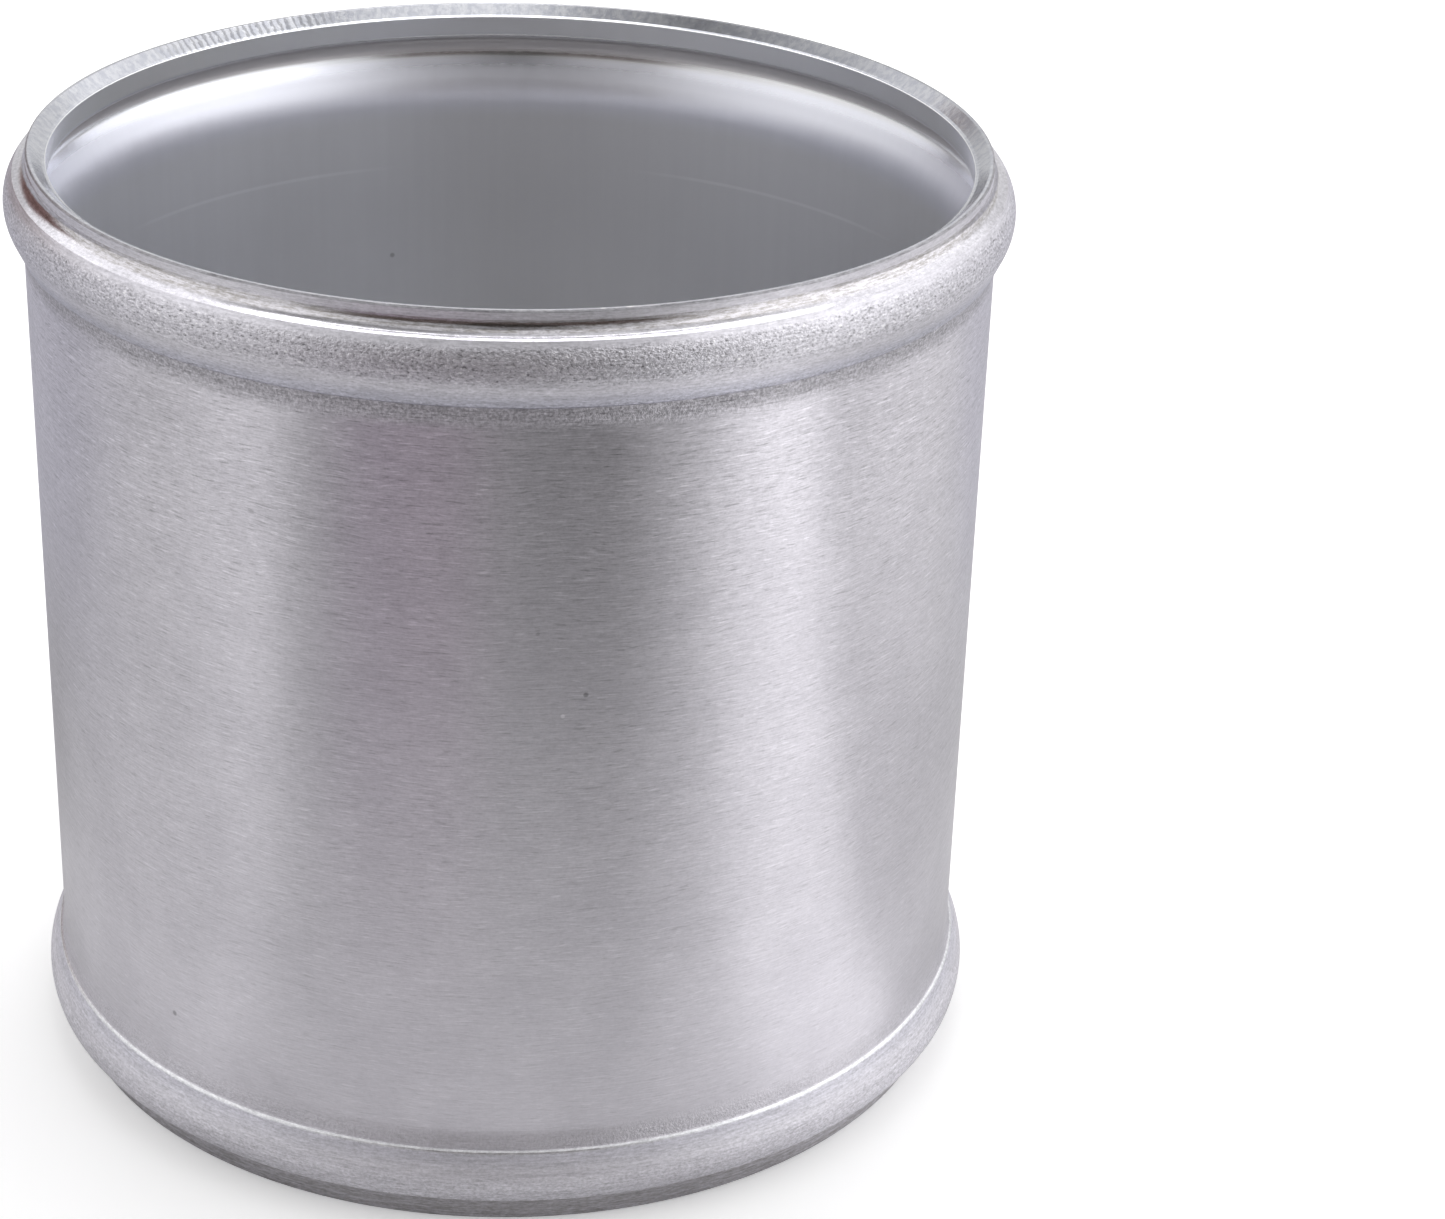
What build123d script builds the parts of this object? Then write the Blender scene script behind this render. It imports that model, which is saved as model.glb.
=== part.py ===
from build123d import *
import os
from math import cos, radians, sin, tan

# Beaded aluminium hose joiner: one piece of tube that a hose is pushed over at each end.
# It stands on its lower end. The origin is at the middle of that end, with +Z along the tube.
# The two ends differ only in the lip: the lower one is longer, and its bead is cut off sooner.

# Tube
tube_diameter = 101.6
tube_length = 101.0
wall = 2.0

# Rolled bead, seen from outside
bead_height = 1.85
crest_radius = 4.5
body_flank_angle = 25.0
end_flank_angle = 70.0
upper_crease_angle = 39.5
lower_crease_angle = 18.6

# Small step at the foot of the long flank, and the shallow hollow from it to the plain tube
step_inset = 9.05
step_drop = 0.28
step_angle = 50.0
hollow_length = 1.6

# Lip between the bead and the end of the tube, with a cove between them drawn as short cones
upper_lip_length = 1.87
lower_lip_length = 3.01
lip_step = 0.65
cove_radius = 1.4
cove_cones = 3
edge_break = 0.15

# Groove that the bead leaves inside the tube
groove_end_inset = 9.95
upper_root_length = 1.53
lower_root_length = 0.7
groove_flank_angle = 73.0

# End face: a flat land to stand on, a bevel that falls inwards, and a small chamfer at the mouth
land_width = 0.35
bevel_drop = 1.04
chamfer_width = 0.35
chamfer_drop = 0.15

# Radii and slopes that follow from them
outer_radius = tube_diameter / 2
bore_radius = outer_radius - wall
crest_height = outer_radius + bead_height
lip_outer_radius = outer_radius - lip_step
lip_bore_radius = lip_outer_radius - wall
root_height = crest_height - wall
shoulder_height = crest_height - crest_radius * (1 - cos(radians(body_flank_angle)))
body_slope = tan(radians(body_flank_angle))
end_slope = tan(radians(end_flank_angle))
groove_slope = tan(radians(groove_flank_angle))

# Distances from the end that are the same at both ends
hollow_inset = step_inset + step_drop / tan(radians(step_angle))
plain_inset = hollow_inset + hollow_length
root_end_inset = groove_end_inset - (root_height - bore_radius) / body_slope


def cove_corners(lip_length):
    """The corners of the cove, from the bead's end flank down to the lip."""
    start_inset = lip_length - cove_radius * tan(radians(end_flank_angle / 2))
    corners = []
    for i in range(cove_cones, -1, -1):
        turned = radians(end_flank_angle * i / cove_cones)
        height = lip_outer_radius + cove_radius * (1 - cos(turned))
        corners.append((height, start_inset + cove_radius * sin(turned)))
    return corners


def draw_end(place, crease_angle, lip_length, root_length):
    """One end's section, from the plain tube outside, round the end, to the plain bore inside."""
    crease_height = crest_height - crest_radius * (1 - cos(radians(crease_angle)))
    crease_inset = lip_length + (crease_height - lip_outer_radius) / end_slope
    crest_inset = crease_inset + crest_radius * sin(radians(crease_angle))
    shoulder_inset = crest_inset + crest_radius * sin(radians(body_flank_angle))
    step_height = shoulder_height - (step_inset - shoulder_inset) * body_slope
    root_start_inset = root_end_inset - root_length
    bend_inset = root_start_inset - (root_height - lip_bore_radius) / groove_slope
    flank = [
        (outer_radius, plain_inset),
        (step_height - step_drop, hollow_inset),
        (step_height, step_inset),
        (shoulder_height, shoulder_inset),
    ]
    rest = [
        (crease_height, crease_inset),
        *cove_corners(lip_length),
        (lip_outer_radius, edge_break),
        (lip_outer_radius - edge_break, 0),
        (lip_outer_radius - edge_break - land_width, 0),
        (lip_bore_radius + chamfer_width, bevel_drop),
        (lip_bore_radius, bevel_drop + chamfer_drop),
        (lip_bore_radius, bend_inset),
        (root_height, root_start_inset),
        (root_height, root_end_inset),
        (bore_radius, groove_end_inset),
    ]
    Polyline(*[place(*corner) for corner in flank])
    ThreePointArc(place(*flank[-1]), place(crest_height, crest_inset), place(*rest[0]))
    Polyline(*[place(*corner) for corner in rest])
    print("crest inset", round(crest_inset, 2), "bend inset", round(bend_inset, 3))


def at_lower_end(height, inset):
    return (height, inset)


def at_upper_end(height, inset):
    return (height, tube_length - inset)


with BuildPart() as joiner_tube:
    with BuildSketch(Plane.XZ):
        with BuildLine():
            draw_end(at_lower_end, lower_crease_angle, lower_lip_length, lower_root_length)
            draw_end(at_upper_end, upper_crease_angle, upper_lip_length, upper_root_length)
            Line((outer_radius, plain_inset), (outer_radius, tube_length - plain_inset))
            Line((bore_radius, groove_end_inset), (bore_radius, tube_length - groove_end_inset))
        make_face()
    revolve(axis=Axis.Z)

joiner_tube.part.label = "joiner_tube"

os.makedirs("parts", exist_ok=True)
export_step(joiner_tube.part, "parts/joiner_tube.step")

print("plain inset", round(plain_inset, 2), "root end inset", round(root_end_inset, 3))
print("lip bore radius", round(lip_bore_radius, 2), "bore radius", round(bore_radius, 2))
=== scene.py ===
import math

import bmesh
import bpy
from mathutils import Matrix, Vector


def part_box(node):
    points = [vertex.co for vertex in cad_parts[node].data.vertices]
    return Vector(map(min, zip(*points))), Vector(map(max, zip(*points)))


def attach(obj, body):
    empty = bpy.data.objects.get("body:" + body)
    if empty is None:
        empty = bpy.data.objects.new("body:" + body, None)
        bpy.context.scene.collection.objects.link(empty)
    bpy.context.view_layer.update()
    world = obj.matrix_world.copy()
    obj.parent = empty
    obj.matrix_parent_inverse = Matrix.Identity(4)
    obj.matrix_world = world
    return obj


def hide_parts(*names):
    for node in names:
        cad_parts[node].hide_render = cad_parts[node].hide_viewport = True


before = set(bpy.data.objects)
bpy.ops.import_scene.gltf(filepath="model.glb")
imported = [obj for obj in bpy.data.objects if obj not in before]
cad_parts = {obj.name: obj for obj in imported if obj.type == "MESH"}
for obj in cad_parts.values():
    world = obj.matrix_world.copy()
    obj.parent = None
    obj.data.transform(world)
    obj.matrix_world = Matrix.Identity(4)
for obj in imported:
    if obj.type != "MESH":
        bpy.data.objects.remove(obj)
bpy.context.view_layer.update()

# Beaded aluminium hose joiner, standing on its lower end on a pale floor.
# The profile and the metals are in millimetres, the studio is in metres, and angles are in
# degrees. An inset is the distance from the nearer end of the tube. An azimuth is 0 towards
# the camera and 90 to its right.

MM = 0.001

# The tube's size, from the frame
low_corner, high_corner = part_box("joiner_tube")
TUBE_LENGTH_MM = (high_corner[2] - low_corner[2]) / MM
CREST_R_MM = (high_corner[1] - low_corner[1]) / 2 / MM

# Profile
BEAD_HEIGHT = 1.85
WALL = 2.0
CREST_RADIUS = 4.5
BODY_FLANK = 25.0
END_FLANK = 70.0
CREASE_ROUND = 0.08
STEP_INSET = 9.05
STEP_DROP = 0.28
STEP_ANGLE = 50.0
STEP_ROUND = 0.22
HOLLOW_LENGTH = 1.6
HOLLOW_RADIUS = 8.0
LIP_STEP = 0.65
COVE_RADIUS = 1.4
EDGE_BREAK = 0.15
LAND_WIDTH = 0.35
BEVEL_DROP = 1.04
CHAMFER_WIDTH = 0.35
CHAMFER_DROP = 0.15
GROOVE_END = 10.37
GROOVE_END_RADIUS = 8.0
GROOVE_FLANK = 73.0
INNER_FLANK = 22.5
CORNER_RADIUS = 0.7
BEND_RADIUS = 0.8
EDGE_ROUND = 0.05

# How much of the plain tube and of the plain bore is drawn with each end
BODY_LEAD = 2.0
BORE_LEAD = 3.0

# What differs between the ends: the lower lip is longer, and its bead is cut off sooner
LOWER_END = {"crease": 18.6, "lip_length": 3.01, "root_start": 5.28, "root_radius": 1.5}
UPPER_END = {"crease": 39.5, "lip_length": 1.87, "root_start": 4.45, "root_radius": 3.2}

# Mesh: columns around the tube, steps in a rounded corner, and the rows of the plain stretches
COLUMNS = 320
CORNER_STEPS = 6
SMALL_ROUND = 0.2
SMALL_STEPS = 3
CREST_STEPS = 16
PLAIN_ROWS = 8
HOLD = 0.05

# Zones of the surface; where two meet, the band between them takes the later one
ZONES = ["body", "inside", "bead", "face"]


def polar(angle):
    a = math.radians(angle)
    return math.cos(a), math.sin(a)


def tangent(angle):
    return math.tan(math.radians(angle))


def placed(name, data):
    """A new object in the scene."""
    obj = bpy.data.objects.new(name, data)
    bpy.context.scene.collection.objects.link(obj)
    return obj


# The tube's shape

def rounded(corners):
    """Points (r, z, zone) along a line of (r, z, radius, zone) corners, each rounded by its radius.
    A row on either side of each rounding keeps the shading of the straight parts straight."""
    points = []
    for i, (r, z, radius, zone) in enumerate(corners):
        if radius == 0:
            points.append((r, z, zone))
            continue
        here = Vector((r, z))
        to_before = (Vector(corners[i - 1][:2]) - here).normalized()
        to_after = (Vector(corners[i + 1][:2]) - here).normalized()
        half = to_before.angle(to_after) / 2
        reach = radius / math.tan(half)
        centre = here + (to_before + to_after).normalized() * (radius / math.sin(half))
        start = here + to_before * reach - centre
        end = here + to_after * reach - centre
        line = [centre + start + to_before * HOLD]
        steps = SMALL_STEPS if radius < SMALL_ROUND else CORNER_STEPS
        for k in range(steps + 1):
            line.append(centre + start.slerp(end, k / steps) * radius)
        line.append(centre + end + to_after * HOLD)
        points += [(p.x, p.y, zone) for p in line]
    return points


def end_profile(crease, lip_length, root_start, root_radius):
    """One end's section, from the plain tube outside, round the end, to the plain bore inside."""
    outer_r = CREST_R_MM - BEAD_HEIGHT
    lip_r = outer_r - LIP_STEP
    crease_cos, crease_sin = polar(crease)
    flank_cos, flank_sin = polar(BODY_FLANK)
    crease_r = CREST_R_MM - CREST_RADIUS * (1 - crease_cos)
    crease_z = lip_length + (crease_r - lip_r) / tangent(END_FLANK)
    crest_z = crease_z + CREST_RADIUS * crease_sin
    shoulder_r = CREST_R_MM - CREST_RADIUS * (1 - flank_cos)
    shoulder_z = crest_z + CREST_RADIUS * flank_sin
    step_r = shoulder_r - (STEP_INSET - shoulder_z) * tangent(BODY_FLANK)
    below_step = STEP_INSET + STEP_DROP / tangent(STEP_ANGLE)
    plain_z = below_step + HOLLOW_LENGTH

    bore_r = outer_r - WALL
    lip_bore_r = lip_r - WALL
    root_r = CREST_R_MM - WALL
    root_end_z = GROOVE_END - (root_r - bore_r) / tangent(INNER_FLANK)
    bend_z = root_start - (root_r - lip_bore_r) / tangent(GROOVE_FLANK)

    corners = [
        (outer_r, plain_z + BODY_LEAD, 0, "body"),
        (outer_r, plain_z, HOLLOW_RADIUS, "body"),
        (step_r - STEP_DROP, below_step, STEP_ROUND, "body"),
        (step_r, STEP_INSET, STEP_ROUND, "bead"),
    ]
    for i in range(CREST_STEPS):
        c, s = polar(BODY_FLANK - (BODY_FLANK + crease) * i / CREST_STEPS)
        corners.append((CREST_R_MM - CREST_RADIUS * (1 - c), crest_z + CREST_RADIUS * s, 0, "bead"))
    corners += [
        (crease_r, crease_z, CREASE_ROUND, "bead"),
        (lip_r, lip_length, COVE_RADIUS, "bead"),
        (lip_r, EDGE_BREAK, EDGE_ROUND, "bead"),
        (lip_r - EDGE_BREAK, 0, EDGE_ROUND, "bead"),
        (lip_r - EDGE_BREAK - LAND_WIDTH, 0, EDGE_ROUND, "face"),
        (lip_bore_r + CHAMFER_WIDTH, BEVEL_DROP, EDGE_ROUND, "face"),
        (lip_bore_r, BEVEL_DROP + CHAMFER_DROP, EDGE_ROUND, "inside"),
        (lip_bore_r, bend_z, BEND_RADIUS, "inside"),
        (root_r, root_start, CORNER_RADIUS, "inside"),
        (root_r, root_end_z, root_radius, "inside"),
        (bore_r, GROOVE_END, GROOVE_END_RADIUS, "inside"),
        (bore_r, GROOVE_END + BORE_LEAD, 0, "inside"),
    ]
    return rounded(corners)


def plain_rows(start, end):
    """The points strictly between two others on a straight stretch."""
    rows = []
    for i in range(1, PLAIN_ROWS):
        z = start[1] + (end[1] - start[1]) * i / PLAIN_ROWS
        rows.append((start[0], z, start[2]))
    return rows


def section():
    """The whole closed section: lower end, bore, upper end, body."""
    lower = end_profile(**LOWER_END)
    upper = [(r, TUBE_LENGTH_MM - z, zone) for r, z, zone in reversed(end_profile(**UPPER_END))]
    return lower + plain_rows(lower[-1], upper[0]) + upper + plain_rows(upper[-1], lower[0])


def lathe(name, points):
    """A closed ring mesh from a section, with one material slot for each zone."""
    mesh = bpy.data.meshes.new(name)
    bm = bmesh.new()
    rings = []
    for r, z, zone in points:
        ring = []
        for k in range(COLUMNS):
            a = 2 * math.pi * k / COLUMNS
            ring.append(bm.verts.new((r * MM * math.cos(a), r * MM * math.sin(a), z * MM)))
        rings.append(ring)
    for i, here in enumerate(rings):
        j = (i + 1) % len(rings)
        after = rings[j]
        slot = max(ZONES.index(points[i][2]), ZONES.index(points[j][2]))
        for k in range(COLUMNS):
            m = (k + 1) % COLUMNS
            face = bm.faces.new((here[k], here[m], after[m], after[k]))
            face.smooth = True
            face.material_index = slot
    bmesh.ops.recalc_face_normals(bm, faces=bm.faces)
    bm.to_mesh(mesh)
    bm.free()
    return placed(name, mesh)


# Node trees

class Nodes:
    """A short way to write a node tree: a call adds nodes, and returns their output unless it ends
    the tree."""

    def __init__(self, tree):
        self.tree = tree

    def add(self, kind, inputs=(), output=0, **settings):
        node = self.tree.nodes.new(kind)
        for name, value in settings.items():
            setattr(node, name, value)
        for key, value in dict(inputs).items():
            socket = node.inputs[key]
            if isinstance(value, bpy.types.NodeSocket):
                self.tree.links.new(value, socket)
            else:
                socket.default_value = value
        return node.outputs[output]

    def end(self, kind, value):
        """Ends the tree in an output node of a kind."""
        self.tree.links.new(value, self.tree.nodes.new(kind).inputs[0])

    def math(self, operation, a, b=0.0, c=0.0):
        return self.add("ShaderNodeMath", {0: a, 1: b, 2: c}, operation=operation)

    def times(self, a, b):
        return self.math("MULTIPLY", a, b)

    def plus(self, base, value, factor=1.0):
        """The base plus a value times a factor."""
        return self.math("MULTIPLY_ADD", value, factor, base)

    def minus(self, a, b):
        return self.math("SUBTRACT", a, b)

    def ramp(self, value, span, start=0.0, end=1.0, shape="SMOOTHSTEP"):
        """Goes from start to end while the value crosses the span, and stays there beyond it."""
        return self.add("ShaderNodeMapRange", {0: value, 1: span[0], 2: span[1], 3: start, 4: end},
                        interpolation_type=shape)

    def fall(self, value, span):
        return self.ramp(value, span, 1.0, 0.0)

    def between(self, value, rise, fall):
        """1 between two spans, and 0 outside them."""
        return self.times(self.ramp(value, rise), self.fall(value, fall))

    def mix(self, factor, a, b):
        return self.add("ShaderNodeMix", {0: factor, 6: a, 7: b}, output=2, data_type="RGBA")

    def scale(self, vector, amounts):
        """A vector or colour multiplied by another, part by part."""
        return self.add("ShaderNodeVectorMath", {0: vector, 1: amounts}, operation="MULTIPLY")

    def shade(self, colour, factor):
        return self.add("ShaderNodeVectorMath", {0: colour, 3: factor}, operation="SCALE")

    def length(self, vector):
        return self.add("ShaderNodeVectorMath", {0: vector}, output=1, operation="LENGTH")

    def height(self, vector):
        return self.add("ShaderNodeSeparateXYZ", {0: vector}, output=2)

    def noise(self, vector, scale=1.0, detail=2.0, roughness=0.5):
        return self.add("ShaderNodeTexNoise",
                        {"Vector": vector, "Scale": scale, "Detail": detail, "Roughness": roughness})

    def azimuth(self, vector):
        """The azimuth of a place or a direction, from -180 to 180."""
        apart = self.tree.nodes.new("ShaderNodeSeparateXYZ")
        self.tree.links.new(vector, apart.inputs[0])
        turn = self.math("ARCTAN2", apart.outputs[0], self.times(apart.outputs[1], -1.0))
        return self.times(turn, 180 / math.pi)

    def around(self, azimuth, stops):
        """A colour that changes smoothly with the azimuth; stops are (azimuth, grey or colour)."""
        node = self.tree.nodes.new("ShaderNodeValToRGB")
        self.tree.links.new(self.plus(0.5, azimuth, 1 / 360), node.inputs[0])
        ramp = node.color_ramp
        ramp.interpolation = "EASE"
        while len(ramp.elements) < len(stops):
            ramp.elements.new(0.5)
        for element, (degrees, value) in zip(ramp.elements, stops):
            element.position = degrees / 360 + 0.5
            colour = value if isinstance(value, tuple) else (value, value, value)
            element.color = (*colour, 1)
        return node.outputs[0]


def emptied(owner):
    """The node tree of a material or world, with nothing in it."""
    owner.use_nodes = True
    owner.node_tree.nodes.clear()
    return Nodes(owner.node_tree)


class Metal:
    """A metal's material, its node tree, and the places that its patterns are laid out by."""

    def __init__(self, name):
        self.material = bpy.data.materials.new(name)
        self.nodes = emptied(self.material)
        n = self.nodes
        self.shader = n.tree.nodes.new("ShaderNodeBsdfPrincipled")
        n.end("ShaderNodeOutputMaterial", self.shader.outputs[0])
        self.shader.inputs["Metallic"].default_value = 1.0
        self.point = n.scale(n.add("ShaderNodeTexCoord", output="Object"), (1 / MM, 1 / MM, 1 / MM))
        self.z = n.height(self.point)
        self.inset = n.math("MINIMUM", self.z, n.minus(TUBE_LENGTH_MM, self.z))

    def drive(self, socket, value):
        self.nodes.tree.links.new(value, self.shader.inputs[socket])

    def bump(self, height):
        """Raises the surface by a height in millimetres."""
        inputs = {"Strength": 1.0, "Distance": MM, "Height": height}
        self.drive("Normal", self.nodes.add("ShaderNodeBump", inputs))


# Patterns. A stretch is what a place is multiplied by, so lines are long where it is small. A span
# is where a change starts and ends, and a change with three parts has its span and then its value
# before and after it.
WIDE_SPAN = (0.3, 0.7)
NARROW_SPAN = (0.35, 0.65)
SHORT_LINE_STRETCH = (1.0, 1.0, 6.0)
LONG_LINE_STRETCH = (0.2, 0.2, 5.0)
SHORT_LINE_SHARE = 0.6
BAND_STRETCH = (0.06, 0.06, 1.6)
SCRATCH_STRETCH = (0.55, 0.55, 6.5)
SCRATCH_SWAY = (0.0, 0.0, 1.5)
LIGHT_SCRATCH = (0.63, 0.72)
DARK_SCRATCH = (0.28, 0.37)
SPOT_CORE = 0.4


def brush_lines(n, point):
    """Fine lines that run around the tube, from 0 to 1, and broader, fainter bands of them."""
    short = n.noise(n.scale(point, SHORT_LINE_STRETCH), detail=3.0, roughness=0.7)
    long = n.noise(n.scale(point, LONG_LINE_STRETCH), detail=2.0, roughness=0.6)
    fine = n.plus(n.times(short, SHORT_LINE_SHARE), long, 1 - SHORT_LINE_SHARE)
    return fine, n.noise(n.scale(point, BAND_STRETCH), detail=2.0)


def scratches(n, point):
    """Short thin scratches, slightly tilted: above zero where they are light, below where dark."""
    sway = n.scale(n.noise(point, scale=0.12, detail=1.0), SCRATCH_SWAY)
    tilted = n.add("ShaderNodeVectorMath", {0: point, 1: sway}, operation="ADD")
    marks = n.noise(n.scale(tilted, SCRATCH_STRETCH), detail=1.0, roughness=0.4)
    return n.minus(n.ramp(marks, LIGHT_SCRATCH), n.fall(marks, DARK_SCRATCH))


def spot(n, point, place, radius):
    """A small round mark: 1 at its place, 0 beyond its radius."""
    away = n.add("ShaderNodeVectorMath", {0: point, 1: place}, output=1, operation="DISTANCE")
    return n.fall(away, (radius * SPOT_CORE, radius))


# The plain tube. Beside each bead is a shallow hollow with a rough skin, which painted shade darkens in
# gritty patches, much more beside the upper bead than beside the lower one.
HOLLOW = (9.9, 12.2)
BODY_LINE_HEIGHT = 0.016
BODY_GRIT_HEIGHT = 0.12
BODY_ROUGHNESS = 0.27
BODY_BAND_ROUGHNESS = 0.10
HOLLOW_ROUGHNESS = 0.10
BODY_TONES = [(0.655, 0.636, 0.685, 1), (0.695, 0.675, 0.725, 1)]
BODY_CLOUD_STRETCH = (0.12, 0.12, 0.12)
BODY_LINE_TONE = 0.22
SCRATCH_TONE = 0.22
BODY_GRIT_TONE = 0.36
LOWER_STRENGTH = ((12.0, 55.0), 0.42, 0.78)
UPPER_STRENGTH = ((62.0, 84.0), 1.0, 1.5)
HOLLOW_SHADE_BY_GRIT = ((0.38, 0.62), 0.42, 0.12)
HOLLOW_SHADE_BY_HEIGHT = ((20.0, 80.0), 0.3, 1.0)
BODY_ANISOTROPY = 0.6
ANISOTROPY_TURN = 0.25

# Small marks on the plain tube: place, radius, and change of tone
BODY_MARKS = [
    ((7.2, -50.3, 61.7), 0.35, -0.45),
    ((5.0, -50.6, 59.5), 0.3, 0.4),
    ((-35.0, -36.8, 16.7), 0.4, -0.4),
    ((2.5, -50.7, 68.4), 0.3, -0.2),
]


def body_material():
    metal = Metal("body_aluminium")
    n, point, z = metal.nodes, metal.point, metal.z
    fine, bands = brush_lines(n, point)
    cloud = n.noise(n.scale(point, BODY_CLOUD_STRETCH), detail=3.0)
    grit = n.noise(point, scale=3.2, detail=3.0, roughness=0.7)
    hollow = n.fall(metal.inset, HOLLOW)

    metal.bump(n.plus(n.times(fine, BODY_LINE_HEIGHT), n.times(grit, hollow), BODY_GRIT_HEIGHT))
    rough = n.plus(BODY_ROUGHNESS, bands, BODY_BAND_ROUGHNESS)
    metal.drive("Roughness", n.plus(rough, hollow, HOLLOW_ROUGHNESS))

    streak = n.ramp(fine, WIDE_SPAN, -BODY_LINE_TONE, BODY_LINE_TONE, "LINEAR")
    streak = n.plus(streak, scratches(n, point), SCRATCH_TONE)
    streak = n.plus(streak, n.minus(grit, 0.5), BODY_GRIT_TONE)
    strength = n.times(n.ramp(z, *LOWER_STRENGTH), n.ramp(z, *UPPER_STRENGTH))
    # Painted shade: gritty darkening in the hollow beside each bead, stronger towards the top.
    hollow_shade = n.times(hollow, n.ramp(grit, *HOLLOW_SHADE_BY_GRIT))
    hollow_shade = n.times(hollow_shade, n.ramp(z, *HOLLOW_SHADE_BY_HEIGHT))
    level = n.times(n.plus(1.0, streak, strength), n.minus(1.0, hollow_shade))
    for place, radius, change in BODY_MARKS:
        level = n.times(level, n.plus(1.0, spot(n, point, place, radius), change))
    tone = n.mix(n.ramp(cloud, NARROW_SPAN), *BODY_TONES)
    metal.drive("Base Color", n.shade(tone, level))

    metal.shader.inputs["Anisotropic"].default_value = BODY_ANISOTROPY
    metal.shader.inputs["Anisotropic Rotation"].default_value = ANISOTROPY_TURN
    metal.drive("Tangent", n.add("ShaderNodeTangent", direction_type="RADIAL", axis="Z"))
    return metal.material


# The beads, by inset: from the end in come the rim, the lip, the cove, the polished end flank, the
# crest with its orange-peel skin, and the foot. An edge inset is counted so that the crease lies
# at the same place on both ends: on the lower end it is this much less than the inset.
LOWER_CREASE_SHIFT = 1.42
LOWER_HALF = (20.0, 30.0)
RIM = (0.12, 0.25)
LIP = (0.85, 1.05)
COVE = ((0.85, 1.0), (1.85, 2.15))
POLISHED = (2.36, 2.46)
CREST_START = (2.6, 3.4)
CREST_END = ((5.8, 7.0), 1.0, 0.22)
FOOT = (6.8, 9.0)
FOOT_PEEL = ((8.3, 8.9), 0.0, 0.35)
LOWER_WEAKENING = -0.5
WORN_STEP = (8.8, 9.02)
GRAIN_TILT = (0.5, 0.0, 0.6)
GRAIN_STRETCH = (1.0, 1.0, 1.7)
PEEL_HEIGHT = 0.12
BEAD_LINE_HEIGHT = 0.014
BEAD_ROUGHNESS = 0.40
LOWER_ROUGHNESS = 0.14
WORN_ROUGHNESS = -0.18
POLISHED_ROUGHNESS = -0.26
LIP_ROUGHNESS = 0.24
SCATTERED_METALLIC = -0.27
BEAD_TONES = [(0.68, 0.665, 0.715, 1), (0.73, 0.715, 0.765, 1)]
# Painted shade: a dark brown tone in the cove and on the lower lip, mottled along the fine lines.
COVE_SHADE_TONE = (0.50, 0.475, 0.465, 1)
COVE_BY_LINES = ((0.38, 0.58), 0.95, 0.25)
LOWER_LIP_SHADE = 0.6
# Painted shade: the bead's flank towards the plain tube is darker and bluer, much less on the lower
# bead.
FOOT_SHADE_TONE = (0.52, 0.52, 0.60, 1)
FOOT_SHADE_SHARE = 0.75
WORN_TONE = (0.82, 0.82, 0.85, 1)
BEAD_LINE_TONE = 0.25
GRAIN_TONE = 0.5
PEEL_GRAIN_TONE = 1.1
PEEL_TONE = -0.05
LIGHT_PITS = (0.60, 0.70)
DARK_PITS = ((0.30, 0.41), 1.3, 0.0)
PIT_TONE = 0.24
# Painted shade on the upper end's outer edge break.
RIM_SHADE_LEVEL = -0.5
# Painted shade on the lower lip.
LOWER_LIP_SHADE_LEVEL = -0.12


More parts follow.
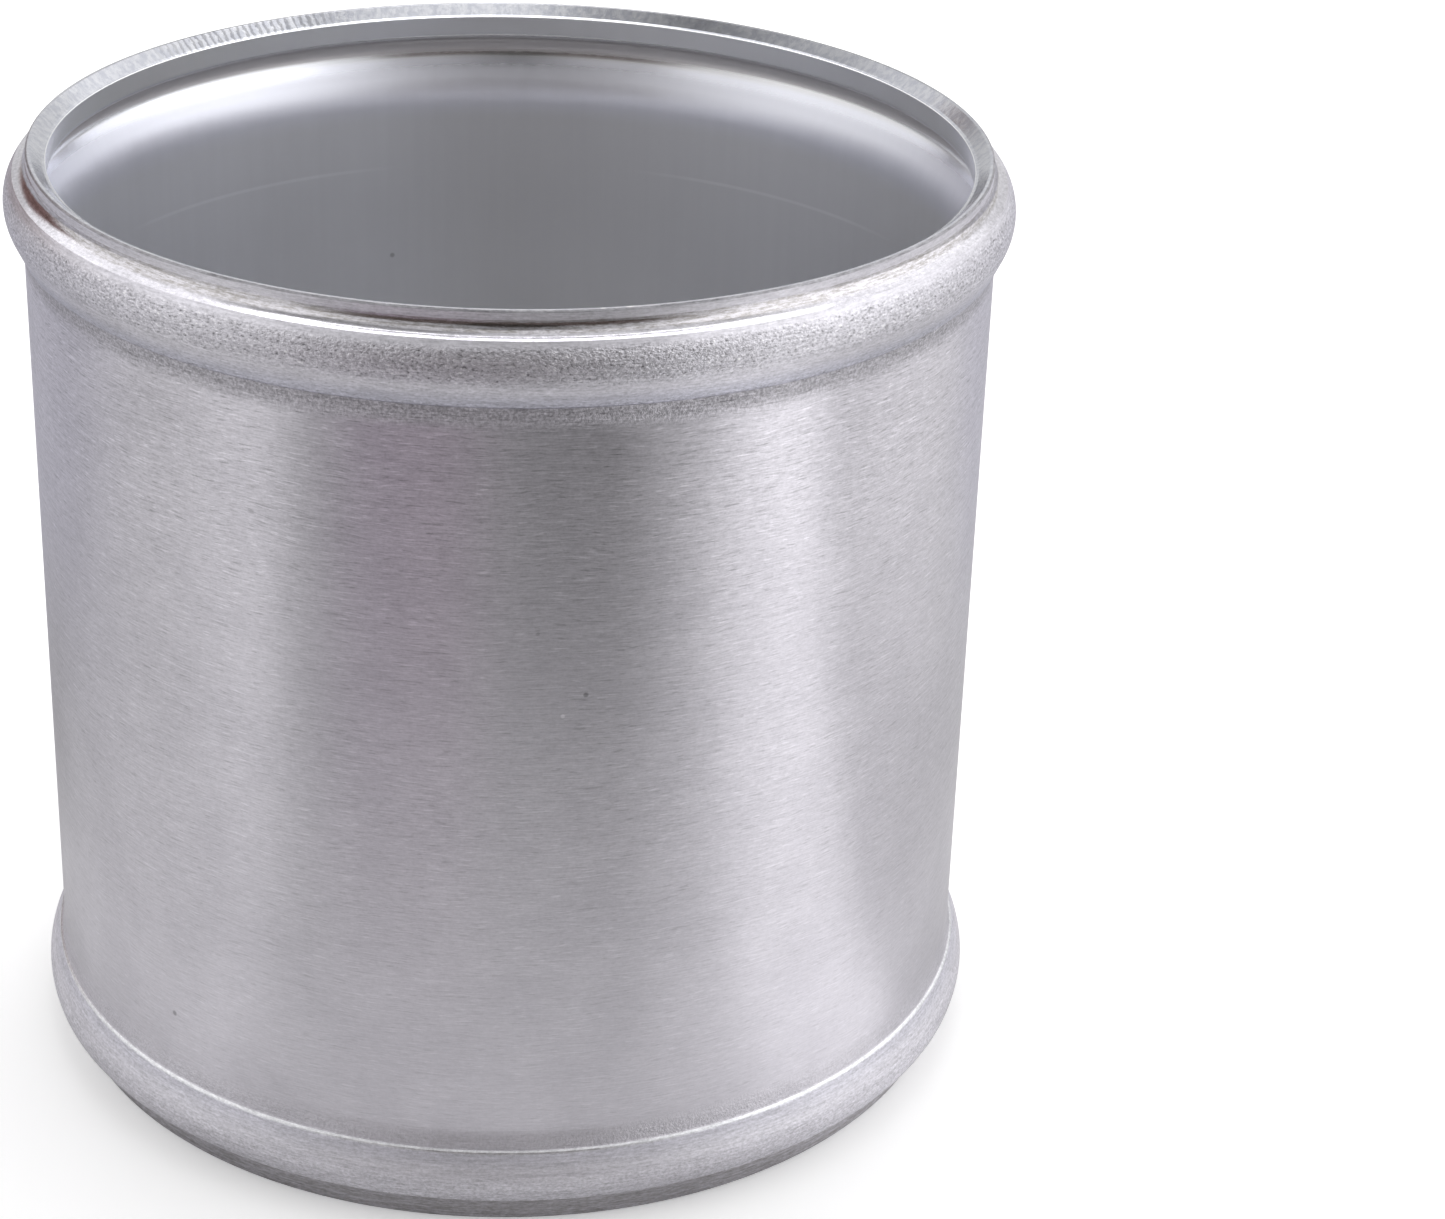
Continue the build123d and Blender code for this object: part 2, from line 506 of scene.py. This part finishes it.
def bead_material():
    metal = Metal("bead_aluminium")
    n, inset = metal.nodes, metal.inset
    fine, bands = brush_lines(n, metal.point)
    lower = n.fall(metal.z, LOWER_HALF)
    upper = n.minus(1.0, lower)
    weaker_below = n.plus(1.0, lower, LOWER_WEAKENING)
    edge_inset = n.plus(inset, lower, -LOWER_CREASE_SHIFT)
    slanted = n.add("ShaderNodeMapping",
                    {"Vector": metal.point, "Rotation": GRAIN_TILT, "Scale": GRAIN_STRETCH})
    grain = n.noise(slanted, scale=2.6, detail=3.0, roughness=0.65)
    peel = n.times(n.ramp(inset, CREST_START), n.ramp(inset, *CREST_END))
    peel = n.plus(peel, n.ramp(inset, *FOOT_PEEL))
    peel = n.times(peel, weaker_below)
    polished = n.fall(edge_inset, POLISHED)
    lip = n.fall(edge_inset, LIP)
    lower_lip = n.times(lip, lower)
    worn = n.times(lower, n.ramp(inset, WORN_STEP))

    metal.bump(n.plus(n.times(fine, BEAD_LINE_HEIGHT), n.times(grain, peel), PEEL_HEIGHT))
    rough = n.plus(BEAD_ROUGHNESS, lower, LOWER_ROUGHNESS)
    rough = n.plus(rough, worn, WORN_ROUGHNESS)
    rough = n.plus(rough, polished, POLISHED_ROUGHNESS)
    metal.drive("Roughness", n.plus(rough, lip, LIP_ROUGHNESS))
    scattered = n.minus(n.times(lower, n.minus(1.0, polished)), worn)
    scattered = n.plus(scattered, n.times(lip, upper))
    metal.drive("Metallic", n.plus(1.0, scattered, SCATTERED_METALLIC))

    tone = n.mix(n.ramp(bands, WIDE_SPAN), *BEAD_TONES)
    # Painted shade in the cove and on the lower lip.
    cove_and_lip_shade = n.math("MAXIMUM", n.between(edge_inset, *COVE), n.times(lower_lip, LOWER_LIP_SHADE))
    cove_and_lip_shade = n.times(cove_and_lip_shade, n.ramp(fine, *COVE_BY_LINES))
    tone = n.mix(cove_and_lip_shade, tone, COVE_SHADE_TONE)
    # Painted shade on the bead's flank towards the plain tube, mostly under the upper bead.
    foot = n.times(n.ramp(inset, FOOT), weaker_below)
    tone = n.mix(n.times(foot, FOOT_SHADE_SHARE), tone, FOOT_SHADE_TONE)
    tone = n.mix(worn, tone, WORN_TONE)

    level = n.ramp(fine, WIDE_SPAN, 1 - BEAD_LINE_TONE, 1 + BEAD_LINE_TONE, "LINEAR")
    level = n.plus(level, n.minus(grain, 0.5), n.plus(GRAIN_TONE, peel, PEEL_GRAIN_TONE))
    upper_peel = n.times(peel, upper)
    level = n.plus(level, upper_peel, PEEL_TONE)
    pits = n.minus(n.ramp(grain, LIGHT_PITS), n.ramp(grain, *DARK_PITS))
    level = n.plus(level, n.times(pits, upper_peel), PIT_TONE)
    # Painted shade on the upper end's outer edge break.
    level = n.plus(level, n.times(n.fall(inset, RIM), upper), RIM_SHADE_LEVEL)
    # Painted shade: the lower lip is darkened further.
    level = n.plus(level, lower_lip, LOWER_LIP_SHADE_LEVEL)
    metal.drive("Base Color", n.shade(tone, level))
    return metal.material


# The end faces: cloudy, darkened by azimuth with painted shade, most over a stretch at the right back,
# and with chatter marks over another stretch
FACE_STRETCH = (1.2, 1.2, 0.4)
FACE_TONES = [(0.73, 0.745, 0.82, 1), (0.92, 0.93, 0.98, 1)]
# Painted shade: the end faces' tone by azimuth.
FACE_SHADE_AROUND = [
    (-180, 0.98), (-165, 0.92), (-150, 0.66), (-127, 0.60), (-100, 0.75), (70, 0.80), (100, 0.62),
    (118, 0.50), (132, 0.38), (152, 0.37), (166, 0.72), (180, 0.98),
]
CHATTER_WAVES = 330
CHATTER_SWAY = 9.0
CHATTER_STRETCH = ((-158, -150), (-134, -122))
CHATTER_EDGE = (-0.4, 0.8)
CHATTER_TONE = -0.38
FACE_HEIGHT = 0.02
FACE_ROUGHNESS = 0.2
NICK_TONE = (1, 1, 1, 1)

# Nicks on the upper end face: place and radius
FACE_NICKS = [((10.7, -48.8, 101.0), 0.55), ((8.2, -49.3, 101.0), 0.4)]


def face_material():
    metal = Metal("end_face_aluminium")
    n, point = metal.nodes, metal.point
    azimuth = n.azimuth(point)
    marks = n.noise(n.scale(point, FACE_STRETCH), scale=1.0, detail=4.0, roughness=0.65)
    tone = n.mix(n.ramp(marks, NARROW_SPAN), *FACE_TONES)
    # Painted shade, by azimuth.
    tone = n.scale(tone, n.around(azimuth, FACE_SHADE_AROUND))
    phase = n.plus(n.times(marks, CHATTER_SWAY), azimuth, CHATTER_WAVES * math.pi / 180)
    waves = n.ramp(n.math("SINE", phase), CHATTER_EDGE)
    chatter = n.times(n.between(azimuth, *CHATTER_STRETCH), waves)
    tone = n.shade(tone, n.plus(1.0, chatter, CHATTER_TONE))
    for place, radius in FACE_NICKS:
        tone = n.mix(spot(n, point, place, radius), tone, NICK_TONE)
    metal.drive("Base Color", tone)
    metal.bump(n.times(marks, FACE_HEIGHT))
    metal.shader.inputs["Roughness"].default_value = FACE_ROUGHNESS
    return metal.material


# The inside: the lip, the groove with its root and its long flank, and the bore. A faint ring is
# scratched round the bore over part of its turn, on both sides of its back.
# Painted shade and light by azimuth on the bore: lighter at the left back, darker at the back and the
# front.
BORE_SHADE_AROUND = [
    (-180, 0.90), (-155, (0.97, 0.98, 1.0)), (-125, (1.03, 1.045, 1.08)), (0, 0.94), (130, 0.97),
    (160, 0.92), (180, 0.90),
]
BORE_STREAK_STRETCH = (0.9, 0.9, 0.05)
BORE_CLOUD_STRETCH = (0.04, 0.04, 0.04)
BORE_TONES = [(0.82, 0.82, 0.84, 1), (0.85, 0.85, 0.87, 1)]
GROOVE_ROOT = ((3.2, 3.8), (5.8, 6.3))
# Painted shade in the groove's root, under the lip's overhang.
ROOT_SHADE_TONE = (0.46, 0.43, 0.42, 1)
ROOT_SHADE_SHARE = 0.6
GROOVE_LONG_FLANK = ((6.3, 7.0), (11.0, 14.0))
# Painted highlight: the groove's long flank is lighter and bluer.
LONG_FLANK_HIGHLIGHT_TONE = (0.80, 0.81, 0.92, 1)
LONG_FLANK_HIGHLIGHT_SHARE = 0.5
LONG_FLANK_HIGHLIGHT_LEVEL = 0.07
# Painted light near the mouth and painted shade deep in the bore.
MOUTH_LIGHT_TO_BORE = ((3.0, 7.0), 1.17, 1.01)
DEEP = (13.0, 27.0)
DEEP_SHADE_LEVEL = -0.05
RING_HEIGHT = 81.6
RING_WIDTH = (0.05, 0.3)
RING_STRETCH = ((116.0, 130.0), (150.0, 166.0))
RING_LEVEL = 0.10
STREAK_LEVEL = 0.05
BORE_SPECK = (-14.6, 46.5, 70.6)
BORE_SPECK_RADIUS = 0.4
BORE_SPECK_LEVEL = -0.35
GROOVE_POLISH = (6.9, 8.2)
BORE_ROUGHNESS = 0.36
STREAK_ROUGHNESS = 0.08
GROOVE_ROUGHNESS = -0.22
ROOT_ROUGHNESS = 0.18
BORE_METALLIC = 0.85


def inside_material():
    metal = Metal("bore_aluminium")
    n, point, inset = metal.nodes, metal.point, metal.inset
    azimuth = n.azimuth(point)
    streaks = n.noise(n.scale(point, BORE_STREAK_STRETCH), detail=2.0)
    cloud = n.noise(n.scale(point, BORE_CLOUD_STRETCH), detail=2.0)
    root = n.between(inset, *GROOVE_ROOT)
    long_flank = n.between(inset, *GROOVE_LONG_FLANK)
    tone = n.mix(n.ramp(cloud, WIDE_SPAN), *BORE_TONES)
    # Painted shade and light, by azimuth.
    tone = n.scale(tone, n.around(azimuth, BORE_SHADE_AROUND))
    # Painted shade in the groove's root.
    tone = n.mix(n.times(root, ROOT_SHADE_SHARE), tone, ROOT_SHADE_TONE)
    # Painted highlight on the groove's long flank.
    tone = n.mix(n.times(long_flank, LONG_FLANK_HIGHLIGHT_SHARE), tone, LONG_FLANK_HIGHLIGHT_TONE)

    ring = n.fall(n.math("ABSOLUTE", n.minus(metal.z, RING_HEIGHT)), RING_WIDTH)
    ring = n.times(ring, n.between(n.math("ABSOLUTE", azimuth), *RING_STRETCH))
    # Painted light near the mouth and on the long flank, then painted shade deep in the bore.
    level = n.plus(n.ramp(inset, *MOUTH_LIGHT_TO_BORE), long_flank, LONG_FLANK_HIGHLIGHT_LEVEL)
    level = n.plus(level, n.ramp(inset, DEEP), DEEP_SHADE_LEVEL)
    level = n.plus(level, ring, RING_LEVEL)
    level = n.plus(level, n.minus(streaks, 0.5), STREAK_LEVEL)
    level = n.plus(level, spot(n, point, BORE_SPECK, BORE_SPECK_RADIUS), BORE_SPECK_LEVEL)
    metal.drive("Base Color", n.shade(tone, level))

    rough = n.plus(BORE_ROUGHNESS, streaks, STREAK_ROUGHNESS)
    rough = n.plus(rough, n.fall(inset, GROOVE_POLISH), GROOVE_ROUGHNESS)
    metal.drive("Roughness", n.plus(rough, root, ROOT_ROUGHNESS))
    metal.shader.inputs["Metallic"].default_value = BORE_METALLIC
    return metal.material


def tube_piece():
    piece = lathe("joiner_tube_metal", section())
    for make in (body_material, inside_material, bead_material, face_material):
        piece.data.materials.append(make())
    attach(piece, "root")
    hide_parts("joiner_tube")


# Camera, fitted to the photograph: it stands on the -Y side of the tube
CAMERA_DISTANCE = 0.3722
CAMERA_ELEVATION = 25.62
CAMERA_PITCH = 26.16
CAMERA_YAW = -4.02
CAMERA_ROLL = 2.14
FOCAL_PX = 3346.2
PHOTO_WIDTH_PX = 1445
SENSOR_WIDTH_MM = 36.0
CLIP_START = 0.01


def towards_camera(distance):
    """The place at a distance from the middle of the tube, in the camera's direction."""
    c, s = polar(CAMERA_ELEVATION)
    return Matrix.Translation((0, -distance * c, distance * s + TUBE_LENGTH_MM * MM / 2))


def camera():
    data = bpy.data.cameras.new("camera")
    data.sensor_width = SENSOR_WIDTH_MM
    data.lens = FOCAL_PX / PHOTO_WIDTH_PX * data.sensor_width
    data.clip_start = CLIP_START
    obj = placed("camera", data)
    turn = (Matrix.Rotation(math.radians(CAMERA_YAW), 4, "Z")
            @ Matrix.Rotation(math.radians(90 - CAMERA_PITCH), 4, "X")
            @ Matrix.Rotation(math.radians(CAMERA_ROLL), 4, "Z"))
    obj.matrix_world = towards_camera(CAMERA_DISTANCE) @ turn
    bpy.context.scene.camera = obj


# Studio. The floor is lifted to white for the camera. What the metal mirrors of it is lifted too,
# most in a ring around the tube and least at its foot. On it lies a clear card that only the metal
# sees: it tints what is mirrored, by azimuth, in one way near the tube and in another beyond.
FLOOR_HALF_WIDTH = 3.0
FLOOR_COLOUR = (0.95, 0.95, 0.95, 1)
FLOOR_DEPTH = 0.0004
CARD_DEPTH = 0.0002
FLOOR_LIFT = 0.30
GLOSSY_LIFT = 0.15
BASE_LIFT = 0.40
BASE_RADII = (0.070, 0.098)
FOOT_RADII = (0.055, 0.070)
FOOT_LEVEL = 0.05
CARD_FADE = (0.110, 0.190)
CARD_NEAR = [
    (-180, (0.34, 0.34, 0.38)), (-150, (0.34, 0.34, 0.38)), (-125, 0.40), (-100, 0.56), (-86, 0.62),
    (-62, 0.64), (-51, 0.71), (-39, 0.60), (-20, 0.64), (0, 0.64), (20, 0.61), (34, 0.71), (48, 0.98),
    (64, 0.99), (78, 0.64), (92, 0.56), (113, 0.535), (130, 0.52), (180, (0.34, 0.34, 0.38)),
]
CARD_FAR = [
    (-180, (0.46, 0.46, 0.51)), (-120, (0.46, 0.46, 0.50)), (-80, 0.60), (-53, 0.81), (-43, 0.37),
    (-30, (0.32, 0.28, 0.32)), (-15, (0.34, 0.295, 0.33)), (0, 0.26), (22, 0.20), (38, 0.50),
    (50, 0.98), (62, 1.22), (76, 0.69), (93, 0.81), (113, 0.71), (130, (0.53, 0.53, 0.57)),
    (180, (0.46, 0.46, 0.51)),
]

# The world's light by azimuth, in three bands of elevation, and the elevations where they blend
WORLD_LOW = [
    (-180, 0.50), (-158, 0.46), (-148, (0.13, 0.08, 0.075)), (-130, (0.13, 0.08, 0.075)), (-119, 0.62),
    (-75, 0.70), (-52, 0.55), (-32, (0.08, 0.065, 0.06)),
    (28, (0.08, 0.065, 0.06)), (42, 0.5), (58, 0.95), (90, 1.0), (115, 0.85), (140, 0.55), (180, 0.50),
]
WORLD_MIDDLE = [
    (-180, 0.60), (-160, 0.86), (-135, 0.86), (-110, 0.74), (-75, 0.74), (-52, 0.66), (-30, 0.35),
    (0, 0.15), (28, 0.32), (42, 0.58), (58, 1.0), (90, 1.04), (115, 0.95), (140, 0.86), (160, 0.80),
    (180, 0.60),
]
WORLD_HIGH = [
    (-180, 0.50), (-130, 0.30), (-100, 0.24), (-70, 0.26), (-35, 0.43), (0, 0.54), (50, 0.56),
    (86, 0.48), (130, 0.50), (180, 0.50),
]
LOW_TO_MIDDLE = (20, 28)
MIDDLE_TO_HIGH = (50, 64)
WORLD_GAIN = 1.5
WHITE = (1, 1, 1, 1)

SOFTBOX_SIZE = (0.34, 0.30)
SOFTBOX_PLACE = (0.01, 0.225, 0.45)
SOFTBOX_RADIANCE = 1.6

DISC_RADIUS = 0.069
DISC_SIDES = 48
DISC_GAP = 0.01
DISC_COLOUR = (0.05, 0.045, 0.04, 1)


def staged(name, mesh, material):
    """An object of the studio."""
    obj = placed(name, mesh)
    mesh.materials.append(material)
    return obj


def mirrored_only(obj):
    """Hides an object from all but what the metal mirrors."""
    obj.visible_camera = False
    obj.visible_diffuse = False
    obj.visible_shadow = False


def level_square(name):
    half = FLOOR_HALF_WIDTH
    mesh = bpy.data.meshes.new(name)
    corners = [(-half, -half, 0), (half, -half, 0), (half, half, 0), (-half, half, 0)]
    mesh.from_pydata(corners, [], [(0, 1, 2, 3)])
    return mesh


def floor():
    """The pale floor."""
    material = bpy.data.materials.new("pale_floor")
    material.use_nodes = True
    n = Nodes(material.node_tree)
    shader = material.node_tree.nodes["Principled BSDF"]
    shader.inputs["Base Color"].default_value = FLOOR_COLOUR
    shader.inputs["Roughness"].default_value = 1.0
    shader.inputs["Specular IOR Level"].default_value = 0.0
    shader.inputs["Emission Color"].default_value = WHITE
    seen_by_camera = n.add("ShaderNodeLightPath", output="Is Camera Ray")
    seen_in_metal = n.add("ShaderNodeLightPath", output="Is Glossy Ray")
    radius = n.length(n.add("ShaderNodeTexCoord", output="Object"))
    near = n.ramp(radius, BASE_RADII, BASE_LIFT, GLOSSY_LIFT)
    near = n.times(near, n.ramp(radius, FOOT_RADII, FOOT_LEVEL, 1.0))
    lift = n.plus(n.times(seen_in_metal, near), seen_by_camera, FLOOR_LIFT)
    n.tree.links.new(lift, shader.inputs["Emission Strength"])
    ground = staged("floor", level_square("floor"), material)
    ground.location.z = -FLOOR_DEPTH


def studio_card():
    """The clear card on the floor."""
    material = bpy.data.materials.new("studio_card")
    n = emptied(material)
    place = n.add("ShaderNodeTexCoord", output="Object")
    azimuth = n.azimuth(place)
    near = n.around(azimuth, CARD_NEAR)
    far = n.around(azimuth, CARD_FAR)
    colour = n.mix(n.ramp(n.length(place), CARD_FADE), near, far)
    n.end("ShaderNodeOutputMaterial", n.add("ShaderNodeBsdfTransparent", {"Color": colour}))
    card = staged("studio_card", level_square("studio_card"), material)
    card.location.z = -CARD_DEPTH
    mirrored_only(card)
    card.visible_transmission = False


def top_softbox():
    """A soft light above and behind the tube: the polished flank of the bead mirrors its front edge."""
    data = bpy.data.lights.new("top_softbox", "AREA")
    width, depth = SOFTBOX_SIZE
    data.shape = "RECTANGLE"
    data.size = width
    data.size_y = depth
    data.energy = SOFTBOX_RADIANCE * math.pi * width * depth
    obj = placed("top_softbox", data)
    obj.location = SOFTBOX_PLACE
    obj.visible_camera = False


def camera_card():
    """The dark disc of a camera, just behind where this one stands."""
    turn = Matrix.Rotation(math.radians(90 - CAMERA_ELEVATION), 4, "X")
    place = towards_camera(CAMERA_DISTANCE + DISC_GAP) @ turn
    rim = []
    for k in range(DISC_SIDES):
        c, s = polar(360 * k / DISC_SIDES)
        rim.append(place @ Vector((DISC_RADIUS * c, DISC_RADIUS * s, 0)))
    mesh = bpy.data.meshes.new("camera_card")
    mesh.from_pydata(rim, [], [tuple(range(DISC_SIDES))])
    material = bpy.data.materials.new("camera_black")
    n = emptied(material)
    dark = n.add("ShaderNodeEmission", {"Color": DISC_COLOUR, "Strength": 1.0})
    n.end("ShaderNodeOutputMaterial", dark)
    mirrored_only(staged("camera_card", mesh, material))


def world_light():
    """White for the camera, and stretches of softer light for the metal."""
    world = bpy.data.worlds.new("studio")
    bpy.context.scene.world = world
    n = emptied(world)
    direction = n.add("ShaderNodeTexCoord")
    azimuth = n.azimuth(direction)
    height = n.height(direction)
    gain = (WORLD_GAIN, WORLD_GAIN, WORLD_GAIN)
    low, middle, high = (n.scale(n.around(azimuth, stops), gain)
                         for stops in (WORLD_LOW, WORLD_MIDDLE, WORLD_HIGH))
    lit = n.mix(n.ramp(height, [polar(a)[1] for a in LOW_TO_MIDDLE]), low, middle)
    lit = n.mix(n.ramp(height, [polar(a)[1] for a in MIDDLE_TO_HIGH]), lit, high)
    colour = n.mix(n.add("ShaderNodeLightPath", output="Is Camera Ray"), lit, WHITE)
    n.end("ShaderNodeOutputWorld", n.add("ShaderNodeBackground", {"Color": colour}))


tube_piece()
camera()
floor()
studio_card()
top_softbox()
camera_card()
world_light()

bpy.context.scene.view_settings.view_transform = "Standard"
